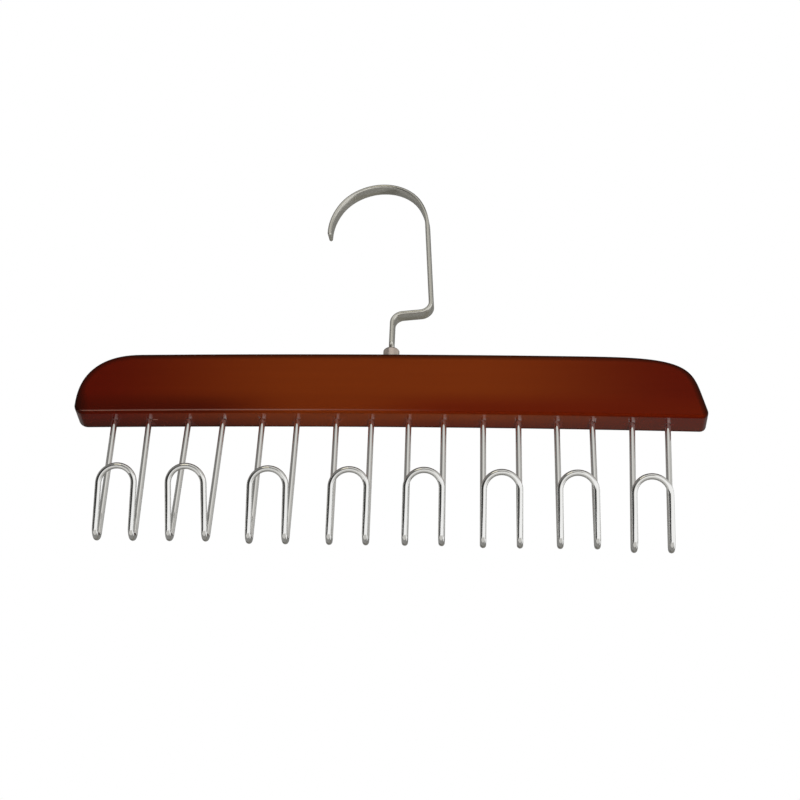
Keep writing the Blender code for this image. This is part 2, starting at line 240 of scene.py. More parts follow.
class Value:
    """A socket of a node tree, so that maths on it reads as a Python expression and adds Math nodes."""

    def __init__(self, nodes, socket):
        self.nodes = nodes
        self.socket = socket

    def math(self, operation, *terms):
        return self.nodes.add("ShaderNodeMath", {"operation": operation}, dict(enumerate(terms)))

    def __add__(self, other):
        return self.math("ADD", self, other)

    def __sub__(self, other):
        return self.math("SUBTRACT", self, other)

    def __rsub__(self, other):
        return self.math("SUBTRACT", other, self)

    def __mul__(self, other):
        return self.math("MULTIPLY", self, other)

    def __truediv__(self, other):
        return self.math("DIVIDE", self, other)

    def __pow__(self, other):
        return self.math("POWER", self, other)

    def __lt__(self, other):
        return self.math("LESS_THAN", self, other)

    def __neg__(self):
        return self.math("MULTIPLY", self, -1.0)

    def __abs__(self):
        return self.math("ABSOLUTE", self)

    __radd__ = __add__
    __rmul__ = __mul__

    def or_larger(self, other):
        return self.math("MAXIMUM", self, other)

    def out(self, name):
        """Another output of the same node."""
        return Value(self.nodes, self.socket.node.outputs[name])

    def into(self, node, socket):
        """Feeds this value to a socket of a node that is already there."""
        self.nodes.tree.links.new(self.socket, node.inputs[socket])


class Nodes:
    """A node tree being built. One method adds any node: its type, its settings, then its sockets."""

    def __init__(self, tree):
        self.tree = tree

    def add(self, kind, settings=None, inputs=None, output=0):
        node = self.tree.nodes.new(kind)
        for name, value in (settings or {}).items():
            setattr(node, name, value)
        for name, value in (inputs or {}).items():
            if isinstance(value, Value):
                value.into(node, name)
            else:
                node.inputs[name].default_value = value
        return Value(self, node.outputs[output]) if node.outputs else None

    def object_place(self):
        """The place on the piece, in metres."""
        return self.add("ShaderNodeTexCoord", output="Object")

    def attribute(self, name, output="Vector"):
        """What the mesh remembers under this name."""
        return self.add("ShaderNodeAttribute", {"attribute_name": name}, output=output)

    def ramp(self, value, low, high):
        """0 at low, 1 at high, eased between them."""
        settings = {"interpolation_type": "SMOOTHSTEP"}
        return self.add("ShaderNodeMapRange", settings, {0: value, 1: low, 2: high})

    def linear(self, value, low, high):
        """0 at low, 1 at high, straight between them and held beyond."""
        return self.add("ShaderNodeMapRange", {}, {0: value, 1: low, 2: high})

    def mix(self, share, first, second):
        """The first colour at share 0, the second at share 1. The node's colours are its sockets 6 and 7."""
        first, second = ((*c, 1.0) if isinstance(c, tuple) else c for c in (first, second))
        return self.add("ShaderNodeMix", {"data_type": "RGBA"}, {0: share, 6: first, 7: second}, output=2)

    def noise(self, place, stretch, detail):
        """Cloudy noise from 0 to 1, with so many waves a metre along X, Y and Z."""
        spread = self.add("ShaderNodeVectorMath", {"operation": "MULTIPLY"}, {0: place, 1: stretch})
        return self.add("ShaderNodeTexNoise", {}, {"Vector": spread, "Scale": 1.0, "Detail": detail})

    def bump(self, relief, strength, height):
        """A normal that follows a fine relief, which is so many metres high."""
        return self.add("ShaderNodeBump", {}, {"Strength": strength, "Distance": height, "Height": relief})


def new_material(name, plain_values=None):
    """A material, its node tree and its Principled shader, with the values that are the same all over."""
    material = bpy.data.materials.new(name)
    material.use_nodes = True
    shader = material.node_tree.nodes["Principled BSDF"]
    for socket, value in (plain_values or {}).items():
        shader.inputs[socket].default_value = value
    return material, Nodes(material.node_tree), shader


def inside_shoulder(across, up, fullness, run, rise):
    """Roughly how far a point lies inside a rounded shoulder, from its shares of the way out and up."""
    outward = across ** fullness
    both = outward + up ** fullness
    return (1.0 - both ** (1.0 / fullness)) * (rise + (run - rise) * (outward / both))


wood, nodes, shader = new_material("lacquered_wood", LACQUER)
place = nodes.object_place()
axes = nodes.add("ShaderNodeSeparateXYZ", inputs={0: place})
x, y, z = axes.out("X"), axes.out("Y"), axes.out("Z")
height = z + BAR_BOW * (x * (2 / bar_length)) ** 2.0
grain = nodes.noise(place, GRAIN_STRETCH, GRAIN_DETAIL)
figure = nodes.noise(place, FIGURE_STRETCH, FINE_DETAIL)
pores = nodes.noise(place, PORE_STRETCH, PLAIN_DETAIL)
front = nodes.ramp(-y, *BEAD_DEPTHS)
bottom = height < EDGE_ROUNDING

# The stain darkens towards the ends, and painted shade deepens it there.
wood_colour = nodes.mix(nodes.ramp(abs(x), *STAIN_REACH), END_STAIN_AND_SHADE, STAIN_MIDDLE)
# Painted shade darkens the bar towards its lower edge, on the front and towards the back of the underside,
# less so a little left of the middle.
low_edge_shade = nodes.ramp(height, *LOW_EDGE_HEIGHTS) * (front + (1.0 - front) * nodes.ramp(y, *LOW_EDGE_DEPTHS))
low_edge_shade_colour = nodes.mix(nodes.ramp(x, *LOW_EDGE_REACH), LOW_EDGE_SHADE_COLOUR, LOW_EDGE_SHADE_COLOUR_RIGHT)
pale_low_edge = nodes.ramp(abs(x - PALE_LOW_EDGE_MIDDLE), *PALE_LOW_EDGE_REACH)
wood_colour = nodes.mix(low_edge_shade * (LOW_EDGE_STRENGTH - pale_low_edge * PALE_LOW_EDGE_SHARE), wood_colour, low_edge_shade_colour)
underside = nodes.ramp(abs(y), *UNDERSIDE_DEPTHS) * bottom
tone = TONE + grain * GRAIN_TONE + figure * FIGURE_TONE - pores * PORE_TONE
# A painted sheen lightens the underside towards its front edge.
tone = tone + underside * nodes.linear(y, *UNDERSIDE_SHEEN_DEPTHS) * UNDERSIDE_SHEEN
wood_colour = nodes.add("ShaderNodeVectorMath", {"operation": "SCALE"}, {0: wood_colour, "Scale": tone})

# A painted highlight lightens the bead along the left part of the lower front edge.
bead = front * nodes.ramp(height, *BEAD_TOP) * nodes.ramp(height, *BEAD_BOTTOM) * nodes.ramp(x, *BEAD_REACH)
wood_colour = nodes.mix(bead * BEAD_HIGHLIGHT_STRENGTH, wood_colour, BEAD_HIGHLIGHT_COLOUR)

# Painted shade makes a dark rim round the rounded shoulders and along the lower back edge.
left = nodes.linear(-x, bar_length / 2 - LEFT_SHOULDER_RUN, bar_length / 2)
left = inside_shoulder(left, nodes.linear(height, LEFT_HEEL, bar_height), LEFT_SHOULDER_FULLNESS,
                       LEFT_SHOULDER_RUN, bar_height - LEFT_HEEL)
left_width = RIM_WIDTH + (LEFT_RIM_WIDTH - RIM_WIDTH) * nodes.ramp(height, *LEFT_RIM_HEIGHTS)
left_rim = 1.0 - nodes.linear(left, 0.0, left_width) ** LEFT_RIM_FALL
right_reach = bar_length / 2 + RIGHT_SLANT_SHARE * RIGHT_HEEL
right = nodes.linear(x + RIGHT_SLANT_SHARE * height, right_reach - RIGHT_SHOULDER_RUN, right_reach)
right = inside_shoulder(right, nodes.linear(height, RIGHT_WAIST, bar_height), RIGHT_SHOULDER_FULLNESS,
                        RIGHT_SHOULDER_RUN, bar_height - RIGHT_WAIST)
right_rim = 1.0 - nodes.linear(right, 0.0, RIM_WIDTH) ** RIGHT_RIM_FALL
to_the_side = RIM_ON_FACE_SHARE + (1 - RIM_ON_FACE_SHARE) * nodes.ramp(abs(y), *RIM_DEPTHS)
back_edge = nodes.ramp(y, *BACK_EDGE_DEPTHS) * bottom
rim_shade = (left_rim.or_larger(right_rim) * to_the_side).or_larger(back_edge * BACK_EDGE_STRENGTH)
wood_colour = nodes.mix(rim_shade * RIM_STRENGTH, wood_colour, RIM_SHADE_COLOUR)

# A small chip beside a leg shows the raw wood.
chip_x = (x - CHIP_PLACE[0]) * (1 / CHIP_SIZE[0])
chip_y = (y - CHIP_PLACE[1]) * (1 / CHIP_SIZE[1])
chip = (chip_x ** 2.0 + chip_y ** 2.0 + grain * CHIP_RAGGEDNESS < 1.0) * bottom
wood_colour = nodes.mix(chip, wood_colour, RAW_WOOD)
wood_colour.into(shader, "Base Color")
roughness = LACQUER_ROUGHNESS + grain * GRAIN_ROUGHNESS + figure * FIGURE_ROUGHNESS + chip * CHIP_ROUGHNESS
roughness.into(shader, "Roughness")
ripple = nodes.bump(figure + grain * GRAIN_RIPPLE_SHARE, RIPPLE_STRENGTH, RIPPLE_HEIGHT)
ripple.into(shader, "Normal")
gloss = UNDERSIDE_GLOSS + UNDERSIDE_GLOSS_RISE * nodes.ramp(x, *UNDERSIDE_GLOSS_REACH)
gloss = underside * gloss * (1.0 - back_edge * BACK_EDGE_DULLNESS)
(bead * BEAD_GLOSS + gloss).into(shader, "Coat Weight")

# The holes: two for each wire hook, which stands and leans as it was set by hand, and one for the swivel.
HOLE_SIDES = 32
HOLE_OVERRUN = 0.002
FIT_GAP = 0.0003
PRESS_GAP = 0.00004
SWIVEL_BORE_SPARE = 0.001
LEG_DEPTH_IN_BAR = 0.012
LEG_SPACING = 0.0194
WIRE_RADIUS = 0.00165
WIRE_END_MARGIN = 0.03195
WIRE_PLACE_SHARES = (-0.001, 0.0185, 0.0285, 0.037, 0.016, 0.0225, 0.0115, 0.020)
WIRE_LEANS_DEG = (0.65, -1.35, -0.4, 0.55, 0.5, 0.45, 0.4, -1.7)

wire_spaces = len(WIRE_LEANS_DEG) - 1
wire_pitch = (bar_length - 2 * WIRE_END_MARGIN) / wire_spaces
wire_places = [(index - wire_spaces / 2 + share) * wire_pitch
               for index, share in enumerate(WIRE_PLACE_SHARES)]
leg_places = [(place + side * LEG_SPACING / 2, lean) for place, lean in zip(wire_places, WIRE_LEANS_DEG)
              for side in (-1, 1)]
_, sleeve_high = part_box("swivel_sleeve")
hook_low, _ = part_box("rail_hook")


def drill(name, places, radius, bottom, top):
    """Round cutters standing at these places (x, lean in degrees)."""
    cutters = bmesh.new()
    for x, lean in places:
        stand = Matrix.Translation((x, 0.0, 0.0)) @ Matrix.Rotation(-radians(lean), 4, "Y")
        lift = Matrix.Translation((0.0, 0.0, (bottom + top) / 2))
        bmesh.ops.create_cone(cutters, cap_ends=True, segments=HOLE_SIDES, radius1=radius, radius2=radius,
                              depth=top - bottom, matrix=stand @ lift)
    return new_piece(name, plain_mesh(name, cutters))


blank = new_piece("wood_bar_blank", rounded_bar(), wood)
leg_drills = drill("leg_drills", leg_places, WIRE_RADIUS + PRESS_GAP, -HOLE_OVERRUN,
                   LEG_DEPTH_IN_BAR + FIT_GAP)
swivel_drill = drill("swivel_drill", [(0.0, 0.0)], sleeve_high.x + FIT_GAP, hook_low.z - SWIVEL_BORE_SPARE,
                     bar_height + HOLE_OVERRUN)
for cutter in (leg_drills, swivel_drill):
    cutting = blank.modifiers.new(cutter.name, "BOOLEAN")
    cutting.solver = "EXACT"
    cutting.object = cutter
weighting = blank.modifiers.new("weighting", "WEIGHTED_NORMAL")
weighting.weight = FLAT_FACE_WEIGHT
wood_bar = finished(blank, "wood_bar")
for cutter in (leg_drills, swivel_drill):
    bpy.data.objects.remove(cutter, do_unlink=True)
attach(wood_bar, "bar")
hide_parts("bar")

# Swivel sleeve and retaining washer
# A plain turned sleeve pressed into the top of the bar, and the washer that holds the shank up against it.
# Both are hidden inside the bar, so the solids stay as they are, with the fine rings that turning leaves.
STEEL_COLOUR = (0.45, 0.45, 0.46)
TURNING_STRETCH = (40.0, 40.0, 9000.0)
TURNING_SHADE = 0.8
STEEL_ROUGHNESS = 0.32
TURNING_ROUGHNESS = 0.16
STEEL = {"Metallic": 1.0}


def darker(colour, share):
    return tuple(channel * share for channel in colour)


turned_steel, nodes, shader = new_material("turned_steel", STEEL)
turning = nodes.noise(nodes.object_place(), TURNING_STRETCH, PLAIN_DETAIL)
nodes.mix(turning, darker(STEEL_COLOUR, TURNING_SHADE), STEEL_COLOUR).into(shader, "Base Color")
(STEEL_ROUGHNESS + turning * TURNING_ROUGHNESS).into(shader, "Roughness")
for name in ("swivel_sleeve", "retaining_washer"):
    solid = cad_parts[name]
    solid.data.materials.clear()
    solid.data.materials.append(turned_steel)

# Collar
# A small low-domed collar of satin nickel that stands on the bar and closes the gap round the foot of the
# rail hook. It is turned, so it is a profile spun about the swivel axis.
COLLAR_RADIUS = 0.0046
COLLAR_LAND = 0.0006
DOME_RISE = 0.0018
COLLAR_SIDES = 96
COLLAR_SHARP_DEG = 35
DOME_STEPS = 20
SHANK_RADIUS = 0.0016
# The collar's nickel colour is warmed by a painted reflection of the wood.
COLLAR_COLOUR = (0.70, 0.60, 0.54)
COLLAR_STRETCH = (90.0, 90.0, 6000.0)
# Painted shade darkens the collar's dome.
DOME_SHADE_COLOUR = (0.13, 0.105, 0.09)
DOME_SHADE_STRENGTH = 0.85
DOME_SHADE_HEIGHTS = (-0.0002, 0.0004)
BRUSHED_SHADE = 0.86
NICKEL_ROUGHNESS = 0.13
BRUSHED_ROUGHNESS = 0.08
BRUSHED_BUMP = 0.04
BRUSHED_HEIGHT = 0.00005
NICKEL = {"Metallic": 0.84}

collar_low, collar_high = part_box("collar")
collar_hole = SHANK_RADIUS + FIT_GAP
land_angle = acos((collar_hole + COLLAR_LAND) / COLLAR_RADIUS)
dome_foot = collar_high.z - DOME_RISE * sin(land_angle)
profile = [(collar_hole, collar_high.z)]
for step in range(DOME_STEPS + 1):
    angle = land_angle * (1 - step / DOME_STEPS)
    profile.append((COLLAR_RADIUS * cos(angle), dome_foot + DOME_RISE * sin(angle)))
profile += [(COLLAR_RADIUS, collar_low.z), (collar_hole, collar_low.z)]


def satin_nickel(name, colour, place_from, stretch, painted_shade=None):
    """Nickel plate with faint brushed lines along the coordinates it is given, and darkened where painted
    shade is given.
    """
    material, nodes, shader = new_material(name, NICKEL)
    lines = nodes.noise(place_from(nodes), stretch, FINE_DETAIL)
    plate = nodes.mix(lines, darker(colour, BRUSHED_SHADE), colour)
    if painted_shade:
        plate = nodes.mix(painted_shade(nodes), plate, DOME_SHADE_COLOUR)
    plate.into(shader, "Base Color")
    (NICKEL_ROUGHNESS + lines * BRUSHED_ROUGHNESS).into(shader, "Roughness")
    nodes.bump(lines, BRUSHED_BUMP, BRUSHED_HEIGHT).into(shader, "Normal")
    return material


def shaded_dome(nodes):
    """Painted shade on the collar's dome, from its foot up."""
    axes = nodes.add("ShaderNodeSeparateXYZ", inputs={0: nodes.object_place()})
    low, high = (dome_foot + height for height in DOME_SHADE_HEIGHTS)
    return DOME_SHADE_STRENGTH * nodes.ramp(axes.out("Z"), low, high)


collar_nickel = satin_nickel("collar_nickel", COLLAR_COLOUR, Nodes.object_place, COLLAR_STRETCH, shaded_dome)
mesh = bpy.data.meshes.new("collar_profile")
mesh.from_pydata([(radius, 0.0, height) for radius, height in profile],
                 [(corner, (corner + 1) % len(profile)) for corner in range(len(profile))], [])
spun = new_piece("collar_profile", mesh, collar_nickel)
spin = spun.modifiers.new("spin", "SCREW")
spin.steps = COLLAR_SIDES
spin.render_steps = COLLAR_SIDES
spin.use_merge_vertices = True
spin.merge_threshold = MERGE_DISTANCE
domed_collar = finished(spun, "domed_collar")
domed_collar.data.shade_smooth()
domed_collar.data.set_sharp_from_angle(angle=radians(COLLAR_SHARP_DEG))
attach(domed_collar, "bar")
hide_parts("collar")

# Rail hook
# A flat satin nickel strip with full-round edges, bent edge-on: stem, sideways run, upright and an arch of
# three radii. Its lower end is a round shank that turns in the sleeve and is peened over below the washer.
STRIP_THICKNESS = 0.0024
STRIP_WIDTH = 0.008
STRIP_SHARP_DEG = 40
STEM_RISE = 0.0315
RUN_LENGTH = 0.0225
RUN_RISE_DEG = 2.3
CORNER_RADIUS = 0.0062
UPRIGHT_LENGTH = 0.058
UPRIGHT_LEAN_DEG = 3.7
ARCH_RADII = (0.0438, 0.0280, 0.0385)
ARCH_TURNS_DEG = (22.6, 123.1, 31.5)
ARCH_STEPS = (14, 70, 20)
CORNER_STEPS = 24
STRAIGHT_STEPS = 8
TIP_LENGTH = 0.0016
TIP_STEPS = 8
SHANK_TAPER = 0.003
TAPER_STEPS = 8
HEAD_RADIUS = 0.0027
HEAD_THICKNESS = 0.0015
HEAD_DOME_SHARES = ((0.0, 0.62), (0.12, 0.80), (0.35, 0.95), (0.6, 1.0), (1.0, 1.0))
QUARTER_POINTS = 8
REST_SWIVEL_DEG = -5.7
NICKEL_COLOUR = (0.69, 0.675, 0.615)
BRUSH_STRETCH = (900.0, 900.0, 60.0)


def walk(place, heading, moves):
    """Stations (place, heading) along moves: straights (length, 0, steps) and arcs (radius, turn, steps)."""
    place = Vector(place)
    stations = []
    for size, turn, steps in moves:
        half_turn = turn / steps / 2
        length = 2 * size * abs(sin(half_turn)) if turn else size / steps
        for _ in range(steps):
            heading += half_turn
            place = place + length * Vector((cos(heading), sin(heading)))
            heading += half_turn
            stations.append((place.copy(), heading))
    return stations


def hook_stations(start_height):
    """The strip's centreline in the hook's own plane, from the shank's taper to the tip."""
    rise, lean = radians(RUN_RISE_DEG), radians(UPRIGHT_LEAN_DEG)
    first_turn, second_turn = -(pi / 2 - rise), pi / 2 + lean - rise
    first_tangent = CORNER_RADIUS * tan(-first_turn / 2)
    second_tangent = CORNER_RADIUS * tan(second_turn / 2)
    stem = bar_height + STEM_RISE - first_tangent - start_height
    run = RUN_LENGTH / cos(rise) - first_tangent - second_tangent
    moves = [(stem, 0, STRAIGHT_STEPS), (CORNER_RADIUS, first_turn, CORNER_STEPS), (run, 0, STRAIGHT_STEPS),
             (CORNER_RADIUS, second_turn, CORNER_STEPS), (UPRIGHT_LENGTH, 0, STRAIGHT_STEPS)]
    for radius, turn_deg, steps in zip(ARCH_RADII, ARCH_TURNS_DEG, ARCH_STEPS):
        moves.append((radius, radians(turn_deg), steps))
    return walk((0.0, start_height), pi / 2, moves)


def strip_ring(place, heading, thickness, width):
    """A round-edged ring at one station, of this thickness in the hook's plane and this width across it."""
    corner = min(thickness, width) / 2
    across = Vector((-sin(heading), 0.0, cos(heading)))
    ring = []
    for quarter in range(4):
        for step in range(QUARTER_POINTS):
            angle = pi / 2 * (quarter + (step + 1 / 2) / QUARTER_POINTS)
            outer = 1 if cos(angle) > 0 else -1
            rear = 1 if sin(angle) > 0 else -1
            outwards = outer * (thickness / 2 - corner) + corner * cos(angle)
            depth = rear * (width / 2 - corner) + corner * sin(angle)
            ring.append(Vector((place[0], depth, place[1])) + across * outwards)
    return ring


def upright_ring(z, thickness, width):
    """A ring on the swivel axis, with its height as its distance along the hook."""
    return strip_ring((0.0, z), pi / 2, thickness, width), z


def shank_rings(taper_start):
    """The rings of the peened head, the shank and its taper."""
    rings = []
    for up, out in HEAD_DOME_SHARES:
        rings.append(upright_ring(hook_low.z + HEAD_THICKNESS * up, 2 * HEAD_RADIUS * out,
                                  2 * HEAD_RADIUS * out))
    for z in (hook_low.z + HEAD_THICKNESS, taper_start):
        rings.append(upright_ring(z, 2 * SHANK_RADIUS, 2 * SHANK_RADIUS))
    for step in range(1, TAPER_STEPS + 1):
        share = step / TAPER_STEPS
        eased = share * share * (3 - 2 * share)
        thickness = 2 * SHANK_RADIUS + (STRIP_THICKNESS - 2 * SHANK_RADIUS) * eased
        width = 2 * SHANK_RADIUS + (STRIP_WIDTH - 2 * SHANK_RADIUS) * eased
        rings.append(upright_ring(taper_start + SHANK_TAPER * share, thickness, width))
    return rings


def strip_rings(start_height):
    """The rings of the strip up to its rounded tip, each with its distance along the hook."""
    rings = []
    along = start_height
    last = Vector((0.0, start_height))
    stations = hook_stations(start_height)
    for place, heading in stations:
        along += (place - last).length
        last = place
        rings.append((strip_ring(place, heading, STRIP_THICKNESS, STRIP_WIDTH), along))
    place, heading = stations[-1]
    for step in range(1, TIP_STEPS + 1):
        angle = pi / 2 * step / (TIP_STEPS + 1)
        onward = Vector((cos(heading), sin(heading))) * TIP_LENGTH * sin(angle)
        shrink = STRIP_THICKNESS * (1 - cos(angle))
        ring = strip_ring(place + onward, heading, STRIP_THICKNESS - shrink, STRIP_WIDTH - shrink)
        rings.append((ring, along + TIP_LENGTH * sin(angle)))
    return rings


def lofted(name, rings):
    """A closed skin over the rings, which remembers the distance along the strip and the place across it."""
    skin = bmesh.new()
    trace = skin.verts.layers.float_vector.new("trace")
    loops = []
    for ring, along in rings:
        centre = sum(ring, Vector()) / len(ring)
        loop = []
        for point in ring:
            corner = skin.verts.new(point)
            corner[trace] = ((point - centre).length, point.y, along)
            loop.append(corner)
        loops.append(loop)
    close_skin(skin, loops)
    mesh = plain_mesh(name, skin)
    mesh.shade_smooth()
    mesh.set_sharp_from_angle(angle=radians(STRIP_SHARP_DEG))
    return mesh


def strip_trace(nodes):
    return nodes.attribute("trace")


strip_nickel = satin_nickel("strip_nickel", NICKEL_COLOUR, strip_trace, BRUSH_STRETCH)
taper_start = collar_high.z + FIT_GAP
mesh = lofted("strip_hook", shank_rings(taper_start) + strip_rings(taper_start + SHANK_TAPER))
mesh.transform(Matrix.Rotation(radians(REST_SWIVEL_DEG), 4, "Z"))
strip_hook = new_piece("strip_hook", mesh, strip_nickel)
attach(strip_hook, "hook")
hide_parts("rail_hook")

# Wire hooks
# Each is one bright plated wire: two legs that stand in the bar, bent forwards at the foot and joined by a
# round loop that flares away from the legs. They are bent by hand, so each leans a little its own way.
WIRE_DROP = 0.0794
WIRE_DROP_SHARES = (0.981, 0.980, 0.994, 0.995, 0.995, 1.006, 1.006, 1.029)
LOOP_SPACING = 0.0189
LOOP_LEANS_DEG = (4.0, -3.2, 0.9, 2.6, 1.3, 0.5, -1.2, -3.5)
BEND_RADIUS = 0.005
FRONT_STRAIGHT = 0.0239
FLARE_DEG = 31.4
WIRE_SIDES = 28
BEND_POINTS = 26
WIRE_COLOUR = (0.90, 0.90, 0.885)
DRAWN_STRETCH = (2600.0, 2600.0, 25.0)
DRAWN_SHADE = 0.9
HAZE_STRETCH = (140.0, 140.0, 140.0)
WIRE_ROUGHNESS = 0.045
DRAWN_ROUGHNESS = 0.03
HAZE_ROUGHNESS = 0.04
DRAWN_BUMP = 0.02
DRAWN_HEIGHT = 0.00003
CHROME = {"Metallic": 1.0}

wire_tree = bpy.data.node_groups.new("bent_wire", "GeometryNodeTree")
wire_tree.is_modifier = True
wire_inputs = {}
for name, kind in (("Bend line", "Geometry"), ("Wire radius", "Float"), ("Place", "Float"), ("Lean", "Float"),
                   ("Loop lean", "Float"), ("Foot height", "Float"), ("Foot front", "Float"),
                   ("Finish", "Material")):
    socket = wire_tree.interface.new_socket(name=name, in_out="INPUT", socket_type=f"NodeSocket{kind}")
    wire_inputs[name] = socket.identifier
wire_tree.interface.new_socket(name="Wire", in_out="OUTPUT", socket_type="NodeSocketGeometry")
# The bend line's corners are rounded, its points lean sideways, and a circle is swept along it. Each point
# remembers where it lies along and around the wire, for the drawn lines of the plating.
nodes = Nodes(wire_tree)
given = nodes.add("NodeGroupInput")
bend_radius = nodes.add("GeometryNodeInputRadius")
bent = nodes.add("GeometryNodeFilletCurve", {"mode": "POLY"},
                 {"Curve": given, "Count": BEND_POINTS, "Radius": bend_radius, "Limit Radius": True})
axes = nodes.add("ShaderNodeSeparateXYZ", inputs={0: nodes.add("GeometryNodeInputPosition")})
in_front = axes.out("Y") < given.out("Foot front")
sideways = given.out("Place") - axes.out("Z") * given.out("Lean")
sideways = sideways + in_front * (axes.out("Z") - given.out("Foot height")) * given.out("Loop lean")
offset = nodes.add("ShaderNodeCombineXYZ", inputs={"X": sideways})
leaning = nodes.add("GeometryNodeSetPosition", inputs={"Geometry": bent, "Offset": offset})
thick = nodes.add("GeometryNodeSetCurveRadius", inputs={"Curve": leaning, "Radius": 1.0})
along = nodes.add("GeometryNodeSplineParameter", output="Length")
marked = nodes.add("GeometryNodeStoreNamedAttribute", {"data_type": "FLOAT", "domain": "POINT"},
                   {"Geometry": thick, "Name": "along", "Value": along})
circle = nodes.add("GeometryNodeCurvePrimitiveCircle", {"mode": "RADIUS"},
                   {"Resolution": WIRE_SIDES, "Radius": given.out("Wire radius")})
around = nodes.add("GeometryNodeInputPosition")
circle = nodes.add("GeometryNodeStoreNamedAttribute", {"data_type": "FLOAT_VECTOR", "domain": "POINT"},
                   {"Geometry": circle, "Name": "around", "Value": around})
swept = nodes.add("GeometryNodeCurveToMesh",
                  inputs={"Curve": marked, "Profile Curve": circle, "Fill Caps": True})
smooth = nodes.add("GeometryNodeSetShadeSmooth", inputs={"Geometry": swept, "Shade Smooth": True})
real = nodes.add("GeometryNodeRealizeInstances", inputs={"Geometry": smooth})
dressed = nodes.add("GeometryNodeSetMaterial", inputs={"Geometry": real, "Material": given.out("Finish")})
nodes.add("NodeGroupOutput", inputs={"Wire": dressed})

bright_wire, nodes, shader = new_material("bright_wire", CHROME)
lengthwise = nodes.add("ShaderNodeCombineXYZ", inputs={"Z": nodes.attribute("along", "Fac")})
trace = nodes.add("ShaderNodeVectorMath", {"operation": "ADD"}, {0: nodes.attribute("around"), 1: lengthwise})
drawn = nodes.noise(trace, DRAWN_STRETCH, FINE_DETAIL)
haze = nodes.noise(nodes.object_place(), HAZE_STRETCH, FINE_DETAIL)
nodes.mix(drawn, darker(WIRE_COLOUR, DRAWN_SHADE), WIRE_COLOUR).into(shader, "Base Color")
(WIRE_ROUGHNESS + drawn * DRAWN_ROUGHNESS + haze * HAZE_ROUGHNESS).into(shader, "Roughness")
nodes.bump(drawn, DRAWN_BUMP, DRAWN_HEIGHT).into(shader, "Normal")


def bend_line(drop):
    """The wire before its bends are rounded: its corners, each with the radius of its bend, and its foot."""
    flare = Vector((0.0, -sin(radians(FLARE_DEG)), cos(radians(FLARE_DEG))))
    foot = Vector((0.0, -BEND_RADIUS * (1 + cos(radians(FLARE_DEG))),
                   BEND_RADIUS * (1 - sin(radians(FLARE_DEG))) - drop))
    foot_tangent = BEND_RADIUS / tan(radians(FLARE_DEG) / 2)
    half, loop_half = LEG_SPACING / 2, LOOP_SPACING / 2
    heel = foot - flare * foot_tangent
    brow = foot + flare * (FRONT_STRAIGHT + loop_half)
    top = Vector((0.0, 0.0, LEG_DEPTH_IN_BAR))
    side = [(top, half, 0.0), (heel, half, BEND_RADIUS), (brow, loop_half, loop_half)]
    left = [(point - Vector((reach, 0.0, 0.0)), radius) for point, reach, radius in side]
    right = [(point + Vector((reach, 0.0, 0.0)), radius) for point, reach, radius in reversed(side)]
    return left + right, foot


for index, (x, lean, loop_lean, drop_share) in enumerate(zip(wire_places, WIRE_LEANS_DEG, LOOP_LEANS_DEG,
                                                             WIRE_DROP_SHARES), start=1):
    corners, foot = bend_line(WIRE_DROP * drop_share)
    line = bpy.data.curves.new(f"bend_line_{index}", "CURVE")
    line.dimensions = "3D"
    spline = line.splines.new("POLY")
    spline.points.add(len(corners) - 1)
    for point, (corner, radius) in zip(spline.points, corners):
        point.co = (*corner, 1.0)
        point.radius = radius
    bending = new_piece(f"bend_line_{index}", line)
    sweep = bending.modifiers.new("bent_wire", "NODES")
    sweep.node_group = wire_tree
    for name, value in (("Wire radius", WIRE_RADIUS), ("Place", x), ("Lean", tan(radians(lean))),
                        ("Loop lean", tan(radians(loop_lean))), ("Foot height", foot.z),
                        ("Foot front", foot.y + MERGE_DISTANCE), ("Finish", bright_wire)):
        sweep[wire_inputs[name]] = value
    bent_wire = finished(bending, f"bent_wire_{index}")
    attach(bent_wire, "bar")
    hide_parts(f"wire_hook_{index}")

# Studio
# A pale floor well below the hanger, white surroundings, a soft lamp low in front and another behind, and
# cards of grey that only reflections see, which draw the dark and light lines on the wire and the lacquer.
WHITE = (1.0, 1.0, 1.0, 1.0)
FLOOR_HEIGHT = -1.3
FLOOR_HALF = 8.0
FLOOR_COLOUR = (0.62, 0.62, 0.61)
FLOOR_SHOWN_COLOUR = (0.95, 0.95, 0.95)
MATT = {"Roughness": 0.9, "Specular IOR Level": 0.0}
SKY_LEVEL = 0.45
CARD_FOOT = -1.2
CARD_TOP = 2.6
TABLE_HEIGHT = -1.15
CARD_WARMTH = 0.05
LAMP_SIZE = 0.8

scene = bpy.context.scene
pale_floor, nodes, shader = new_material("pale_floor", MATT)
path = nodes.add("ShaderNodeLightPath")
seen = nodes.add("ShaderNodeClamp", {}, {0: path.out("Is Camera Ray") + path.out("Is Glossy Ray")})
nodes.mix(seen, FLOOR_COLOUR, FLOOR_SHOWN_COLOUR).into(shader, "Base Color")
white = nodes.add("ShaderNodeEmission", inputs={"Color": WHITE})
mirrored = nodes.add("ShaderNodeClamp", {},
                     {0: path.out("Is Glossy Ray") + path.out("Is Transmission Ray")})
surface = nodes.add("ShaderNodeMixShader", {},
                    {0: mirrored, 1: Value(nodes, shader.outputs["BSDF"]), 2: white})
surface.into(nodes.tree.nodes["Material Output"], "Surface")
grid = bmesh.new()
bmesh.ops.create_grid(grid, x_segments=1, y_segments=1, size=FLOOR_HALF,
                      matrix=Matrix.Translation((0.0, 0.0, FLOOR_HEIGHT)))
floor = new_piece("floor", plain_mesh("floor", grid), pale_floor)

